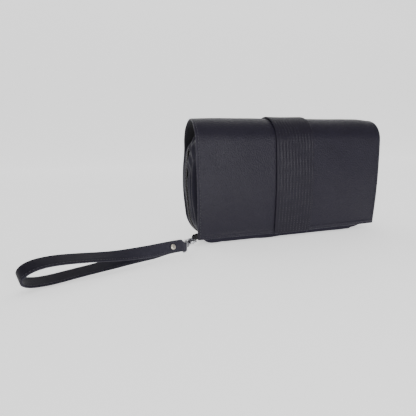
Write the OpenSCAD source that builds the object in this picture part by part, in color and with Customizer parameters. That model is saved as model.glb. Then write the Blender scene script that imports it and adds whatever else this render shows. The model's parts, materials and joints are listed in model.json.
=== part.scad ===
// Makeup bag: a leather flap clutch with a zip-around pouch inside and a wrist strap on a swivel clasp.
// The bag stands on z = 0, its front faces -Y and the strap leaves the bottom corner at -X.

/* [Bag] */
// Width of the flap and the back, end to end
bag_w = 240; // [234:1:246]
// Outer radius of the fold over the top
fold_r = 27; // [26:0.5:28]
// Height of the centre of the top fold
fold_z = 111; // [109:1:113]
// Height at which the front and the back start to draw in towards the bottom
draw_z = 90; // [84:1:96]
// How far the flap draws in at its lower edge
flap_draw = 7; // [5:0.5:8]
// How far the back panel draws in at its lower edge
back_draw = 7; // [5:0.5:7.5]
// Height of the flap's lower edge above the ground
flap_bottom = 6; // [5:0.5:8]
// Thickness of the outer leather
leather_t = 2; // [1.6:0.1:2.2]
// Thickness of the lining
lining_t = 0.8; // [0.6:0.1:1]

/* [Band] */
// Left edge of the raised band
band_x0 = -28; // [-34:1:-22]
// Right edge of the raised band
band_x1 = 20; // [14:1:26]
// How far the band stands proud of the leather
band_t = 2.2; // [1.6:0.1:2.4]
// Number of stitch rows along the band
band_rows = 11; // [7:1:13]

/* [Pouch] */
// Half of the pouch's width
pouch_hw = 116; // [112:0.5:117]
// Height of the pouch's top
pouch_top = 109; // [103:0.5:109.5]
// Radius of the pouch's bottom corners
corner_low_r = 32; // [26:1:34]
// Radius of the pouch's top corners
corner_top_r = 16; // [10:1:24]
// Thickness of the gusset leather
gusset_t = 1.6; // [1.2:0.1:2]
// Gap between the flap's lining and the pouch
flap_gap = 1.5; // [1.2:0.1:2]
// Distance of the zip's middle behind the bag's middle
zip_y = 13; // [12:0.5:13.5]

/* [Wrist strap] */
// Width of the strap
strap_w = 12; // [11:0.5:12]
// Thickness of the strap
strap_t = 1.8; // [1.4:0.1:2]
// Length of the strap loop from the clasp to its tip
strap_len = 158; // [145:1:165]
// Widest part of the strap loop, between the strap's middle lines
strap_spread = 20; // [15:1:20]
// Angle of the strap from the bag's width
strap_angle = 22; // [16:1:28]
// How far the strap's bands lean back from upright
strap_lean = 57; // [50:1:60]
// How steeply the strap rises from the clasp to its tip
strap_rise = 2.2; // [2.2:0.2:3.6]
// Angle of the clasp from the bag's width
clasp_angle = 57; // [52:1:60]

/* [Hidden] */
$fn = 64;
hw = bag_w / 2;
// Clearance between pieces that move past each other
gap = 0.3;
bottom_t = 1.8;
pouch_low = bottom_t + gap;
back_hw = hw - 2;
wrap_t = leather_t + lining_t;
pouch_inset = wrap_t + flap_gap;
panel_t = 1.8;
hinge_y = -fold_r + flap_draw + pouch_inset + 0.2;
band_r = fold_r + band_t;
// Plain margin of the band to the left and to the right of its stitch rows
band_margins = [4.5, 2];
// Outer layer of the stitches above the leather that they hold
thread_h = 0.3;
thread_w = 0.7;
thread_inset = 3;
// Zip
tooth_t = 2.4;
tooth_w = 1.9;
tape_t = 0.8;
tape_w = 7;
tape_show = 3;
zip_low = 12;
slider_z = 36;
slider_l = 11;
// Clasp, along its own axis, measured from the wire of the ring
clasp_z = 8;
ring_len = 8;
ring_hh = 4.2;
wire_r = 0.8;
tab_bar = [-hw - 3.5, -18.5];
tab_hh = 3.2;
tab_t = 3;
tab_neck = 12;
tab_run = 34;
clasp_turn = 180 + clasp_angle;
ring_at = tab_bar + ring_len * [cos(clasp_turn), sin(clasp_turn)];
hook_t = 3.2;
pin_at = [10.6, 3.3];
pin_r = 0.55;
barrel_x = 15;
barrel_l = 6;
post_r = 0.9;
eye_x = barrel_x + barrel_l + gap;
eye_hh = 6;
arm_t = 1.3;
bar_x = 32;
bar_r = 0.8;
rivet_post_r = 1.45;
strap_at = ring_at + bar_x * [cos(clasp_turn), sin(clasp_turn)];
strap_turn = 180 + strap_angle;
tongue_r = 2.6;
tongue_h = 8;
rivet_u = 15;
// Where the strap starts at its full width, and where its two layers part
strap_u0 = 8;
part_u = 22;

// How far in the front or back surface has drawn at height z, for a total draw d. It is straight
// between stations, so that layers that start at different heights still lie face to face.
station = draw_z / 9;
function full_draw(z, d) = z > draw_z ? 0 : d * pow((draw_z - z) / draw_z, 2);
function drawn(z, d) =
    let (low = station * floor(z / station), share = (z - low) / station)
    full_draw(low, d) * (1 - share) + full_draw(low + station, d) * share;
function flap_y(z) = -fold_r + drawn(z, flap_draw);
function back_y(z) = fold_r - drawn(z, back_draw);
function steps(z0, z1, n) = [for (i = [0:n]) z0 + (z1 - z0) * i / n];
function stations(z0, z1) =
    [z0, for (k = [floor(z0 / station) + 1:ceil(z1 / station) - 1]) k * station, z1];

// A sheet that follows the front (side = -1) or the back (side = 1) of the bag, inset by a to b
module sheet(side, x0, x1, z0, z1, a, b) {
    zs = stations(z0, z1);
    outer = [for (z = zs) [side < 0 ? flap_y(z) + a : back_y(z) - a, z]];
    inner = [for (i = [len(zs) - 1:-1:0]) [side < 0 ? flap_y(zs[i]) + b : back_y(zs[i]) - b, zs[i]]];
    translate([x0, 0, 0])
        rotate([90, 0, 90]) linear_extrude(x1 - x0) polygon(concat(outer, inner));
}

// A quarter of the top fold between two radii, from angle a0 to a1 above +Y
module fold_arc(x0, x1, r0, r1, a0, a1) {
    len = x1 - x0;
    wedge = [[0, 0], for (a = steps(a0, a1, 2)) 60 * [cos(a), sin(a)]];
    translate([x0, 0, fold_z]) rotate([90, 0, 90]) intersection() {
        difference() {
            cylinder(r = r1, h = len, $fn = 128);
            translate([0, 0, -1]) cylinder(r = r0, h = len + 2, $fn = 128);
        }
        linear_extrude(len) polygon(wedge);
    }
}

// Rounded outline of the pouch, grown outwards by g
module pouch_outline(g = 0) {
    low_r = corner_low_r + g;
    top_r = corner_top_r + g;
    x = pouch_hw + g;
    translate([-x, pouch_low - g + low_r])
        square([2 * x, pouch_top + 2 * g - pouch_low - low_r - top_r]);
    translate([-x + low_r, pouch_low - g]) square([2 * (x - low_r), low_r + 1]);
    translate([-x + top_r, pouch_top + g - top_r - 1]) square([2 * (x - top_r), top_r + 1]);
    for (s = [-1, 1]) {
        translate([s * (x - low_r), pouch_low - g + low_r]) circle(low_r);
        translate([s * (x - top_r), pouch_top + g - top_r]) circle(top_r);
    }
}
// The pouch outline as a closed ring, from g0 to g1 outside the outline, along y0 to y1
module pouch_ring(g0, g1, y0, y1) {
    translate([0, y1, 0]) rotate([90, 0, 0]) linear_extrude(y1 - y0) difference() {
        pouch_outline(g1);
        pouch_outline(g0);
    }
}
// The part of the pouch ring that the zip runs along
module zip_ring(g0, g1, y0, y1) {
    difference() {
        pouch_ring(g0, g1, y0, y1);
        translate([-pouch_hw - 9, y0 - 1, -9]) cube([2 * pouch_hw + 18, y1 - y0 + 2, 9 + zip_low]);
    }
}
// Everything between the front face of the pouch and a plane far behind it
module behind_front(a) {
    sheet(-1, -hw - 9, hw + 9, 0, pouch_top + 9, a, a + 60);
}
module before_back(a) {
    sheet(1, -hw - 9, hw + 9, 0, pouch_top + 9, a, a + 60);
}

// Back
module back_outline_solid(inset) {
    r = corner_low_r + 2 - inset;
    x = back_hw - inset;
    translate([0, 60, 0]) rotate([90, 0, 0]) linear_extrude(120) {
        translate([-x, bottom_t + inset + r]) square([2 * x, fold_z - bottom_t - inset - r - gap / 2]);
        translate([-x + r, bottom_t + inset]) square([2 * (x - r), r + 1]);
        for (s = [-1, 1]) translate([s * (x - r), bottom_t + inset + r]) circle(r);
    }
}
module back_panel() {
    color("#2c2c33") intersection() {
        sheet(1, -hw, hw, bottom_t, fold_z - gap / 2, 0, leather_t);
        back_outline_solid(0);
    }
}
module back_lining() {
    color("#1d1d21") intersection() {
        sheet(1, -hw, hw, bottom_t + 3, fold_z - gap / 2, leather_t, wrap_t);
        back_outline_solid(1);
    }
}
module back_stitching() {
    color("#3a3a42") intersection() {
        sheet(1, -hw, hw, bottom_t, fold_z - 2, -thread_h, 0);
        difference() {
            back_outline_solid(thread_inset);
            back_outline_solid(thread_inset + thread_w);
            translate([-hw, -60, fold_z - 4]) cube([bag_w, 120, 9]);
        }
    }
}
module bottom_strip() {
    front = hinge_y + 2.5;
    color("#26262c") translate([-(pouch_hw - corner_low_r + 2), front, 0])
        cube([2 * (pouch_hw - corner_low_r + 2), back_y(bottom_t) - front, bottom_t]);
}

// Pouch, half on the back
module rear_gusset() {
    color("#303037") intersection() {
        pouch_ring(-gusset_t, 0, zip_y + tape_show, fold_r);
        before_back(wrap_t);
        translate([-hw, -60, bottom_t]) cube([bag_w, 120, 200]);
    }
}
module zip_tape_rear() {
    color("#1b1b1f") intersection() {
        zip_ring(-gusset_t - tape_t, -gusset_t, zip_y + gap / 2, zip_y + tape_w);
        before_back(wrap_t);
    }
}
module zip_teeth_rear() {
    color("#b9b4a8") zip_ring(-gusset_t, -gusset_t + tooth_t, zip_y + gap / 2, zip_y + tooth_w);
}
// One stop at each end of the teeth, just below their cut ends on the corners
module zip_end_stops() {
    below_teeth = 6;
    ring_r = corner_low_r - gusset_t + tooth_t / 2;
    turn = asin((pouch_low + corner_low_r - zip_low) / ring_r) + below_teeth;
    color("#a8a49a") for (s = [-1, 1])
        translate([s * (pouch_hw - corner_low_r), zip_y + gap / 2, pouch_low + corner_low_r])
            rotate([0, s * turn, 0]) translate([s * ring_r - tooth_t / 2, 0, -1])
                cube([tooth_t, tooth_w, 2]);
}

// Leather tab at the bottom corner, folded round the bar of the ring and sewn to the bottom strip
module on_tab() {
    translate([tab_bar[0], tab_bar[1], clasp_z]) rotate([0, 0, clasp_turn]) children();
}
module ring_tab() {
    root_x = -pouch_hw + corner_low_r - 2;
    color("#202026") difference() {
        union() {
            on_tab() {
                translate([0, 0, -tab_hh]) cylinder(r = 2.3, h = 2 * tab_hh);
                translate([-tab_neck, -tab_t / 2, -tab_hh]) cube([tab_neck, tab_t, 2 * tab_hh]);
                translate([-tab_run, -tab_t / 2, gap - clasp_z])
                    cube([tab_run - tab_neck, tab_t, clasp_z - gap + tab_hh]);
            }
            linear_extrude(bottom_t)
                polygon([[root_x, 3], [-110, 3], [-112.5, -1], [-114, 0], [-105, 15], [root_x, 15]]);
        }
        translate([tab_bar[0], tab_bar[1], -1]) cylinder(r = wire_r + 0.25, h = 20);
        // Room under the half of the pouch that moves
        translate([0, zip_y + tape_show, 0]) rotate([90, 0, 0]) linear_extrude(60)
            pouch_outline(2 * gap);
        translate([0, fold_r, 0]) rotate([90, 0, 0]) linear_extrude(2 * fold_r) pouch_outline();
    }
}
module ring_tab_stitching() {
    pitch = 1.9;
    color("#4a4a52") on_tab() for (side = [-1, 1], i = [0:3])
        translate([-9.5 + pitch * i, side * (tab_t + thread_h) / 2, 0])
            cube([1.2, thread_h, 0.6], center = true);
}

// Pouch, half that opens forwards
module pouch_front_panel() {
    color("#34343b") intersection() {
        sheet(-1, -hw, hw, pouch_low, pouch_top, pouch_inset, pouch_inset + panel_t);
        translate([0, 60, 0]) rotate([90, 0, 0]) linear_extrude(120) pouch_outline();
    }
}
module pouch_front_lining() {
    a = pouch_inset + panel_t;
    color("#1d1d21") intersection() {
        sheet(-1, -hw, hw, pouch_low, pouch_top, a, a + lining_t);
        translate([0, 60, 0]) rotate([90, 0, 0]) linear_extrude(120) pouch_outline(-gusset_t);
    }
}
module front_gusset() {
    color("#303037") intersection() {
        pouch_ring(-gusset_t, 0, -fold_r, zip_y - tape_show);
        behind_front(pouch_inset + panel_t);
    }
}
module zip_tape_front() {
    color("#1b1b1f")
        zip_ring(-gusset_t - tape_t, -gusset_t, zip_y - tape_w, zip_y - gap / 2);
}
module zip_teeth_front() {
    color("#b9b4a8") zip_ring(-gusset_t, -gusset_t + tooth_t, zip_y - tooth_w, zip_y - gap / 2);
}

// Top fold, in two halves so that it can unroll
seam_a = 0.35;
module fold_layer(a0, a1, r0, r1, x0 = -hw, x1 = hw) {
    fold_arc(x0, x1, r0, r1, a0 + seam_a, a1 - seam_a);
}
// One thread of each band row, and the two threads along the ends of the bag
module fold_threads(a0, a1) {
    for (x = band_thread_x()) fold_layer(a0, a1, band_r, band_r + thread_h, x, x + thread_w);
    for (x = edge_thread_x()) fold_layer(a0, a1, fold_r, fold_r + thread_h, x, x + thread_w);
}
function band_thread_x() = [for (i = [0:band_rows - 1])
    band_x0 + band_margins[0]
        + (band_x1 - band_x0 - band_margins[0] - band_margins[1] - thread_w) * i / (band_rows - 1)];
function edge_thread_x() = [-hw + thread_inset, hw - thread_inset - thread_w];

module fold_rear_leather() { color("#3b3b42") fold_layer(0, 90, fold_r - leather_t, fold_r); }
module fold_rear_lining() {
    color("#1d1d21") fold_layer(0, 90, fold_r - wrap_t, fold_r - leather_t, -hw + 1, hw - 1);
}
module fold_rear_band() { color("#33333a") fold_layer(12, 90, fold_r, band_r, band_x0, band_x1); }
module fold_rear_stitching() { color("#4a4a52") fold_threads(14, 90); }
module fold_front_leather() { color("#3b3b42") fold_layer(90, 180, fold_r - leather_t, fold_r); }
module fold_front_lining() {
    color("#1d1d21") fold_layer(90, 180, fold_r - wrap_t, fold_r - leather_t, -hw + 1, hw - 1);
}
module fold_front_band() { color("#33333a") fold_layer(90, 180, fold_r, band_r, band_x0, band_x1); }
module fold_front_stitching() { color("#4a4a52") fold_threads(90, 180); }

// Front flap
flap_top = fold_z - gap / 2;
module flap_panel() { color("#404048") sheet(-1, -hw, hw, flap_bottom, flap_top, 0, leather_t); }
module flap_lining() {
    color("#1d1d21") sheet(-1, -hw + 1, hw - 1, flap_bottom + 1, flap_top, leather_t, wrap_t);
}
module flap_band() {
    color("#33333a") sheet(-1, band_x0, band_x1, flap_bottom, flap_top, -band_t, 0);
}
module flap_edge_stitching() {
    color("#4a4a52") {
        for (x = edge_thread_x())
            sheet(-1, x, x + thread_w, flap_bottom + thread_inset, flap_top, -thread_h, 0);
        z = flap_bottom + thread_inset;
        sheet(-1, -hw + thread_inset, band_x0, z, z + thread_w, -thread_h, 0);
        sheet(-1, band_x1, hw - thread_inset, z, z + thread_w, -thread_h, 0);
    }
}
module flap_band_stitching() {
    color("#4a4a52") for (x = band_thread_x())
        sheet(-1, x, x + thread_w, flap_bottom + 2, flap_top, -band_t - thread_h, -band_t);
}

// Zip slider on the right-hand run, with a bridge that carries the puller
slider_hy = 4.2;
plate_x = pouch_hw + tooth_t - gusset_t + gap;
module zip_slider() {
    color("#b8b5ad") translate([plate_x, zip_y, slider_z]) {
        difference() {
            translate([0, -slider_hy, 0]) cube([1, 2 * slider_hy, slider_l]);
            for (s = [-1, 1]) translate([-1, s * slider_hy, slider_l]) rotate([0, 90, 0])
                cylinder(r = 1.8, h = 3);
        }
        // Flange beside the teeth of the half that stays
        translate([-0.8, slider_hy - 0.8, 0.5]) cube([1, 0.8, slider_l - 3]);
        for (z = [2.2, 7.6]) translate([1, -0.7, z]) cube([2.4, 1.4, 1]);
        translate([2.9, -0.7, 2.2]) cube([0.9, 1.4, 6.4]);
    }
}
puller_x = plate_x + 2;
puller_z = slider_z + 4.4;
module zip_puller() {
    tag_low = -26;
    tag_x = 0.2;
    color("#c4c1b8") translate([puller_x, zip_y, puller_z]) difference() {
        union() {
            rotate([90, 0, 0]) cylinder(r = 0.55, h = 5, center = true);
            for (s = [-1, 1]) translate([-0.55, s * 2.2 - 0.6, -7]) cube([1.1, 1.2, 7]);
            translate([-0.55, -2.8, -10]) cube([1.1, 5.6, 3.4]);
            translate([tag_x, -3, tag_low]) cube([1.4, 6, 17.5]);
            translate([tag_x, 0, tag_low]) rotate([0, 90, 0]) cylinder(r = 3, h = 1.4);
        }
        translate([-2, 0, tag_low + 1]) rotate([0, 90, 0]) cylinder(r = 1.2, h = 6);
    }
}

// Ring that hangs in the tab
module d_ring() {
    color("#55565c") translate([ring_at[0], ring_at[1], clasp_z]) rotate([0, 0, clasp_turn]) {
        translate([-ring_hh, 0, 0]) rotate([90, 0, 0]) rotate([0, 0, -90])
            rotate_extrude(angle = 180) translate([ring_hh, 0]) circle(wire_r, $fn = 32);
        for (s = [-1, 1]) {
            translate([-ring_len, 0, s * ring_hh]) rotate([0, 90, 0])
                cylinder(r = wire_r, h = ring_len - ring_hh, $fn = 32);
            translate([-ring_len, 0, s * ring_hh]) sphere(wire_r, $fn = 32);
        }
        translate([-ring_len, 0, -ring_hh]) cylinder(r = wire_r, h = 2 * ring_hh, $fn = 32);
    }
}

// Places its children in the clasp's own frame: x along the clasp, z up
module on_clasp() {
    translate([ring_at[0], ring_at[1], clasp_z]) rotate([0, 0, clasp_turn]) children();
}
module stadium(x0, x1, r) {
    translate([x0, 0]) circle(r);
    translate([x1, 0]) circle(r);
    translate([x0, -r]) square([x1 - x0, 2 * r]);
}
module clasp_hook() {
    color("#c2c2c4") on_clasp() difference() {
        union() {
            translate([0, 0, -hook_t / 2]) linear_extrude(hook_t) difference() {
                stadium(1.1, 11, 4.6);
                stadium(1.1, 7.6, 2.4);
            }
            translate([barrel_x - 1, 0, 0]) rotate([0, 90, 0]) cylinder(r = 3, h = barrel_l + 1);
        }
        translate([2.4, 2, -9]) cube([6.6, 9, 18]);
        translate([8.9, 1.7, -1.1]) cube([4.4, 9, 2.2]);
        translate([pin_at[0], pin_at[1], -9]) cylinder(r = pin_r + 0.02, h = 18);
        translate([barrel_x + 0.5, 0, 0]) rotate([0, 90, 0]) cylinder(r = post_r + 0.05, h = 9);
    }
}
module clasp_gate() {
    color("#b4b4b8") on_clasp() difference() {
        union() {
            translate([pin_at[0], pin_at[1], -0.85]) cylinder(r = 1.25, h = 1.7);
            translate([2.7, pin_at[1] - 0.8, -0.85]) cube([pin_at[0] - 2.7, 1.7, 1.7]);
            translate([5.2, pin_at[1] + 0.7, -0.85]) cube([1.8, 2.6, 1.7]);
        }
        translate([pin_at[0], pin_at[1], -9]) cylinder(r = pin_r + 0.15, h = 18);
    }
}
module clasp_pin() {
    color("#8c8c92") on_clasp()
        translate([pin_at[0], pin_at[1], -hook_t / 2]) cylinder(r = pin_r, h = hook_t);
}
module clasp_spring() {
    color("#77777c") on_clasp() for (s = [-1, 1])
        translate([pin_at[0] + 1.95, pin_at[1] - 0.35, s * 0.55]) rotate([0, 0, 20])
            cube([0.5, 2.2, 0.4], center = true);
}
module clasp_swivel() {
    yoke_x = eye_x + 2;
    color("#b4b4b8") on_clasp() {
        translate([barrel_x + 0.9, 0, 0]) rotate([0, 90, 0]) cylinder(r = post_r, h = barrel_l + 1);
        translate([eye_x, 0, 0]) rotate([0, 90, 0]) cylinder(r = 2.6, h = 2.2);
        translate([yoke_x, -1.3, -eye_hh]) cube([1.6, 2.6, 2 * eye_hh]);
        for (z = [-eye_hh, eye_hh - arm_t])
            translate([yoke_x, -1.1, z]) cube([bar_x + 1 - yoke_x, 2.2, arm_t]);
        translate([bar_x, 0, -eye_hh + 0.5]) cylinder(r = bar_r, h = 2 * eye_hh - 1);
    }
}

// Wrist strap: a flat band that leans back, doubled at the clasp and opening into a loop
layer_off = strap_t / 2 + 0.05;
// The greatest value of the loop's shape sin(t) * sin(t / 2) ^ 5, which it reaches at cos(t) = -5 / 7
loop_peak = 0.476;
loop_n = 30;
function loop_t(u) = acos(1 - 2 * u / strap_len);
function loop_u(t) = strap_len * (1 - cos(t)) / 2;
function loop_v(t) = layer_off * cos(t / 2) + strap_spread / 2 / loop_peak * sin(t) * pow(sin(t / 2), 5);
function loop_pt(t) = [loop_u(t), loop_v(t)];
function loop_normal(t) = let (d = loop_pt(t + 0.5) - loop_pt(t - 0.5)) [-d[1], d[0]] / norm(d);
// One side of the loop from u0 to the tip, at a distance off outside the strap's middle line
function loop_side(off, u0) = [for (t = steps(loop_t(u0), 180, loop_n)) loop_pt(t) + off * loop_normal(t)];
function mirrored(pts) = [for (i = [len(pts) - 2:-1:0]) [pts[i][0], -pts[i][1]]];
module loop_area(off, u0) {
    side = loop_side(off, u0);
    polygon(concat(side, mirrored(side)));
}
// The strap's own frame at the bar that it pivots on: x along the strap, z up
module on_strap() {
    translate([strap_at[0], strap_at[1], clasp_z]) rotate([0, 0, strap_turn]) children();
}
// The leaning part of the strap: y out of its front face, z across its width
module on_loop() {
    on_strap() rotate([0, -strap_rise, 0]) rotate([strap_lean, 0, 0]) children();
}
module wrist_strap() {
    joined_t = 2 * layer_off + strap_t;
    twist_u = tongue_r - 0.8;
    color("#2a2a38") difference() {
        union() {
            on_loop() translate([0, 0, -strap_w / 2]) linear_extrude(strap_w) difference() {
                loop_area(strap_t / 2, strap_u0);
                loop_area(-strap_t / 2, part_u);
            }
            // The upright end round the bar, and the twist from it to the leaning part
            on_strap() {
                translate([0, 0, -tongue_h / 2]) cylinder(r = tongue_r, h = tongue_h);
                translate([twist_u, 0, 0]) rotate([0, 90 - strap_rise, 0])
                    linear_extrude(strap_u0 + 0.4 - twist_u, twist = -strap_lean, slices = 6)
                        square([tongue_h, joined_t], center = true);
            }
        }
        on_strap() cylinder(r = bar_r + 0.25, h = 3 * tongue_h, center = true);
        on_loop() translate([rivet_u, 0, 0]) rotate([90, 0, 0])
            cylinder(r = rivet_post_r + 0.05, h = 4 * joined_t, center = true);
    }
}
module strap_stitching() {
    edge = strap_w / 2 - 1.3;
    color("#45455a") on_loop() for (z = [-edge, edge - thread_w]) translate([0, 0, z])
        linear_extrude(thread_w) difference() {
            loop_area(strap_t / 2 + thread_h, strap_u0 + 1);
            loop_area(strap_t / 2, strap_u0);
        }
}
// Distance of the strap's outer face from the strap's axis at the rivet
rivet_face = loop_v(loop_t(rivet_u)) + strap_t / 2 + 0.15;
module strap_rivet_cap() {
    color("#d8d4c8") on_loop() translate([rivet_u, rivet_face, 0]) rotate([-90, 0, 0]) {
        cylinder(r = 3, h = 1);
        translate([0, 0, 1]) cylinder(r1 = 3, r2 = 2, h = 0.6);
        translate([0, 0, -rivet_face]) cylinder(r = rivet_post_r, h = rivet_face);
    }
}
module strap_rivet_base() {
    color("#b8b4a8") on_loop() translate([rivet_u, -rivet_face, 0]) rotate([90, 0, 0]) {
        cylinder(r = 2.6, h = 0.8);
        translate([0, 0, -rivet_face + 0.05]) cylinder(r = rivet_post_r, h = rivet_face);
    }
}

back_panel();
back_lining();
back_stitching();
bottom_strip();
rear_gusset();
zip_tape_rear();
zip_teeth_rear();
zip_end_stops();
ring_tab();
ring_tab_stitching();
pouch_front_panel();
pouch_front_lining();
front_gusset();
zip_tape_front();
zip_teeth_front();
fold_rear_leather();
fold_rear_lining();
fold_rear_band();
fold_rear_stitching();
fold_front_leather();
fold_front_lining();
fold_front_band();
fold_front_stitching();
flap_panel();
flap_lining();
flap_band();
flap_edge_stitching();
flap_band_stitching();
zip_slider();
zip_puller();
d_ring();
clasp_hook();
clasp_gate();
clasp_pin();
clasp_spring();
clasp_swivel();
wrist_strap();
strap_stitching();
strap_rivet_cap();
strap_rivet_base();
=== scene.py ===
"""Makeup bag: the looks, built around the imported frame.

Shapes are worked out in millimetres and become metres when their mesh is made.
"""
import json
import math

import bmesh
import bpy
import numpy as np
from mathutils import Matrix, Vector


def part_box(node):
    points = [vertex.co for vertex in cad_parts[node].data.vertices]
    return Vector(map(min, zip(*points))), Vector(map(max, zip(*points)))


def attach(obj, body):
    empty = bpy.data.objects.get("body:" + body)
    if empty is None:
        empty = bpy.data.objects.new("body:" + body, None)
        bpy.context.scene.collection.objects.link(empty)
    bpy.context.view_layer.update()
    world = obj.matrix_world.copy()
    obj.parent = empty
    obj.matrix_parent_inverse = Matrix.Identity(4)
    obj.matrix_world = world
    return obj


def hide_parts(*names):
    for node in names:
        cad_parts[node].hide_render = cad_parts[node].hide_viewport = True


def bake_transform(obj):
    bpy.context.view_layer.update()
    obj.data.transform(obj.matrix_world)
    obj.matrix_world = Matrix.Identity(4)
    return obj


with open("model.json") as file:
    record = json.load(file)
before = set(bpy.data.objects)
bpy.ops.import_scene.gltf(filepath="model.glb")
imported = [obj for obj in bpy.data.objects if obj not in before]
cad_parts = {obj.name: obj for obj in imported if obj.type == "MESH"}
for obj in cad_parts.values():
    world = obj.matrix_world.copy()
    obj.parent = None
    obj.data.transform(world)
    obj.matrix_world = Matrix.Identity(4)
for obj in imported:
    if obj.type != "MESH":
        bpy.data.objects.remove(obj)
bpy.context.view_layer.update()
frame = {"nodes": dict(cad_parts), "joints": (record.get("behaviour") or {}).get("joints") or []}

MM = 0.001
JOINTS = {j["name"]: j for j in frame["joints"]}


def joint_mm(name):
    return np.array(JOINTS[name]["pos_m"]) / MM


def box_mm(node):
    lo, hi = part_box(node)
    return np.array(lo) / MM, np.array(hi) / MM


# -------------------- sizes, in millimetres
HALF_W = box_mm("flap_panel")[1][0]
BACK_HALF_W = box_mm("back_panel")[1][0]
FOLD_R, FOLD_Z = joint_mm("flap_lift")[1:3]
BAND_T = joint_mm("fold_unroll")[2] - FOLD_Z - FOLD_R
BAND_X0, BAND_X1 = box_mm("flap_band")[0][0], box_mm("flap_band")[1][0]
FLAP_LOW = box_mm("flap_panel")[0][2]
BACK_LOW = box_mm("back_panel")[0][2]
POUCH_HW = box_mm("front_gusset")[1][0]
POUCH_LOW, POUCH_TOP = box_mm("front_gusset")[0][2], box_mm("front_gusset")[1][2]
LEATHER_T = 2.0
LINING_T = 0.8
# Below DRAW_Z the front and the back are drawn in towards the bottom
DRAW_Z = 90.0
FLAP_DRAW = 7.0
BACK_DRAW = 7.0
CORNER_LOW = 27.0
CORNER_TOP = 16.0
CORNER_SQUARE = (15.0, 26.0)
GUSSET_T = 1.6
POUCH_INSET = 4.3
ZIP_Y = 13.0
TAPE_SHOW = 3.0
ZIP_LOW = 12.0
THREAD_IN = 2.8
FLAP_CROWN = 2.2
CORNER_DROP = 2.2
BULGE, BULGE_Z, BULGE_TALL = 4.6, 62, 36
BACK_BULGE_SHARE = 0.7


def smooth(t):
    t = np.clip(t, 0, 1)
    return t * t * (3 - 2 * t)


def lengths(points):
    """How far along a line of points each of them lies."""
    return np.concatenate([[0], np.cumsum(np.linalg.norm(np.diff(points, axis=0), axis=1))])


def drawn(z, draw):
    return draw * np.clip((DRAW_Z - z) / DRAW_Z, 0, 1) ** 2


def flap_y(z):
    return -FOLD_R + drawn(z, FLAP_DRAW)


def back_y(z):
    return FOLD_R - drawn(z, BACK_DRAW)


# -------------------- the bag's side section
# One line from the foot of the back, over the fold, to the lower edge of the flap.
def section_table():
    up = np.linspace(BACK_LOW, FOLD_Z, 90)
    turn = np.linspace(0, math.pi, 120)[1:]
    down = np.linspace(FOLD_Z, FLAP_LOW, 90)[1:]
    y = np.concatenate([back_y(up), FOLD_R * np.cos(turn), flap_y(down)])
    z = np.concatenate([up, FOLD_Z + FOLD_R * np.sin(turn), down])
    length = np.concatenate([[0], np.cumsum(np.hypot(np.diff(y), np.diff(z)))])
    dy, dz = np.gradient(y, length), np.gradient(z, length)
    return length, y, z, dz, -dy, (length[89], length[208], length[-1])


S_TABLE, S_Y, S_Z, S_NY, S_NZ, (S_REAR, S_FRONT, S_END) = section_table()
S_CUT_REAR = S_REAR + FOLD_R * math.pi / 4
S_CUT_FRONT = S_FRONT - FOLD_R * math.pi / 4
S_TOP = (S_REAR + S_FRONT) / 2
BEND = 14.0


def section(s, out):
    """Points of the side section at lengths s, out millimetres outside the outer line."""
    y, z = np.interp(s, S_TABLE, S_Y), np.interp(s, S_TABLE, S_Z)
    ny, nz = np.interp(s, S_TABLE, S_NY), np.interp(s, S_TABLE, S_NZ)
    return y + ny * out, z + nz * out


def section_point(s):
    y, z = section(s, 0.0)
    return (0.0, float(y) * MM, float(z) * MM)


def unevenness(x, s):
    """Slow waves of the hand-worked leather, in millimetres outwards."""
    wave = 0.32 * np.sin(x / 31 + 0.6) * np.sin(s / 37 + 1.1)
    wave += 0.22 * np.sin(x / 17.5 + s / 43 + 2.0) + 0.14 * np.sin(x / 9.3 - s / 21 + 0.4)
    front = smooth((s - S_FRONT) / 40)
    wave += 0.9 * front * np.sin(np.pi * np.clip((s - S_FRONT) / (S_END - S_FRONT), 0, 1))
    wave += FLAP_CROWN * smooth((s - S_TOP) / 60) * (1 - (x / HALF_W) ** 2)
    ends = smooth((np.abs(x) - 84) / 36)
    wave -= 0.9 * ends * front * np.sin((s - S_FRONT) / 26 + 0.4)
    wave -= CORNER_DROP * smooth((x - 98) / 22) * np.exp(-((s - S_TOP + 4) / 20) ** 2)
    return wave


def end_bulge(x, z):
    """How far the filled pouch pushes its left end outwards."""
    side = smooth((-x - 60) / 56)
    return side * (-BULGE * np.exp(-((z - BULGE_Z) / BULGE_TALL) ** 2))


def on_section(out):
    """Places a sheet whose middle lies out millimetres outside the section's outer line."""
    def place(x, s, h):
        y, z = section(s, out + h + unevenness(x, s))
        wide = 1 + (HALF_W / BACK_HALF_W - 1) * smooth((s - S_REAR - 24) / 44)
        x = x * wide
        fallen = smooth((s - S_FRONT) / (S_END - S_FRONT))
        x = x - 3.2 * smooth((x - 40) / 80) * fallen
        x = x - 1.2 * smooth((-x - 60) / 60) * smooth((s - S_TOP) / 30) * (1 - 0.65 * fallen)
        on_back = 1 - smooth((s - S_REAR + 25) / 25)
        return np.stack([x + BACK_BULGE_SHARE * on_back * end_bulge(x, z), y, z], -1)
    return place


# -------------------- mesh building
# Distances of the grid lines from a rounded rim and from a cut edge, and one longer than any sheet
RIM = np.array([0, 0.1, 0.26, 0.5, 0.82, 1.25, 1.9])
CUT = np.array([0, 0.35, 0.9])
FAR = 1e3


def grid_lines(lo, hi, step, near_lo=RIM, near_hi=RIM, extra=()):
    """Grid lines from lo to hi, closer together at the ends and at the extra places."""
    first, last = lo + near_lo, hi - near_hi[::-1]
    n = max(2, int(round((last[0] - first[-1]) / step)) + 1)
    middle = np.linspace(first[-1], last[0], n)[1:-1]
    for e in extra:
        middle = middle[np.abs(middle - e) > 0.45 * step]
    kept = [e for e in extra if first[-1] + 0.05 < e < last[0] - 0.05]
    return np.unique(np.concatenate([first, middle, kept, last]))


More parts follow.
